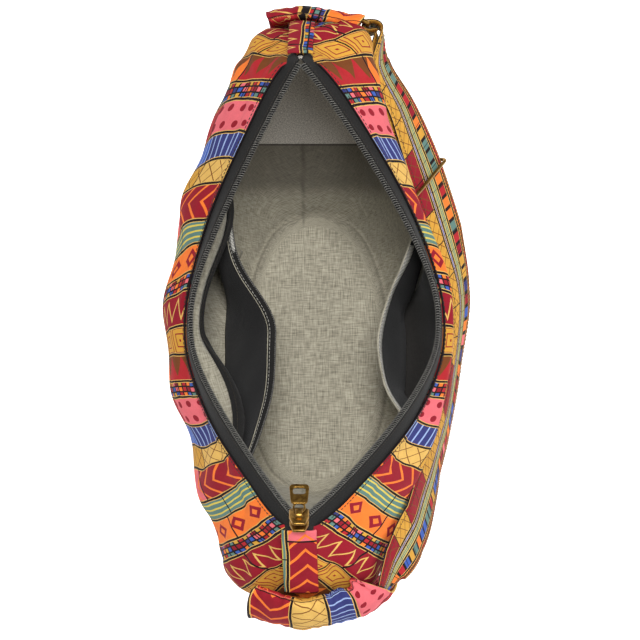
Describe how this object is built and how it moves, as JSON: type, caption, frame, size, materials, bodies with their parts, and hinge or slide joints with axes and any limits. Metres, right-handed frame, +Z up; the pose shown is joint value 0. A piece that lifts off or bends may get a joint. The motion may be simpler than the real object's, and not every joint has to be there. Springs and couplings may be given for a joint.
{
  "type": "canvas shoulder bag",
  "caption": "Printed canvas shoulder bag standing open on its base, with a grey lining, inner pockets, a zipped mouth and an adjustable cloth strap.",
  "frame": {"origin": "centre of the flat base that the bag stands on", "axes": "+Z up, +Y along the bag to its far end, +X to the side where the strap hangs"},
  "size_m": [0.2296, 0.4253, 0.2609],
  "materials": {
    "print": "banded printed canvas",
    "chambray": "grey-beige woven lining",
    "tape": "black woven zip tape",
    "teeth": "black moulded coil",
    "brass": "antique brass"
  },
  "bodies": {
    "bag": {"body_shell": "print", "lining": "chambray", "zip_tape_left": "tape", "zip_teeth_left": "teeth", "zip_tape_right": "tape", "zip_teeth_right": "teeth", "casing_far": "print", "casing_near": "print", "zip_tab_far": "print", "zip_tab_near": "print", "zip_slider": "brass", "strap_ring": "brass", "strap": "print", "strap_slider": "brass", "zip_pocket_panel": "chambray", "slip_pocket_panel": "chambray", "pocket_tape_inner": "tape", "pocket_tape_outer": "tape", "pocket_slider": "brass"},
    "mouth_pull": {"zip_pull": "brass"},
    "inner_pull": {"pocket_pull": "brass"}
  },
  "joints": [
    {"name": "zip_pull_hinge", "type": "hinge", "parent": "bag", "child": "mouth_pull", "pos_m": [-0.01, -0.14522, 0.25412], "axis": [1, 0, 0], "range_deg": [0, 150]},
    {"name": "pocket_pull_hinge", "type": "hinge", "parent": "bag", "child": "inner_pull", "pos_m": [-0.05601, -0.09867, 0.13197], "axis": [0.2978, 0.3168, 0.9005], "range_deg": [0, 140]}
  ]
}
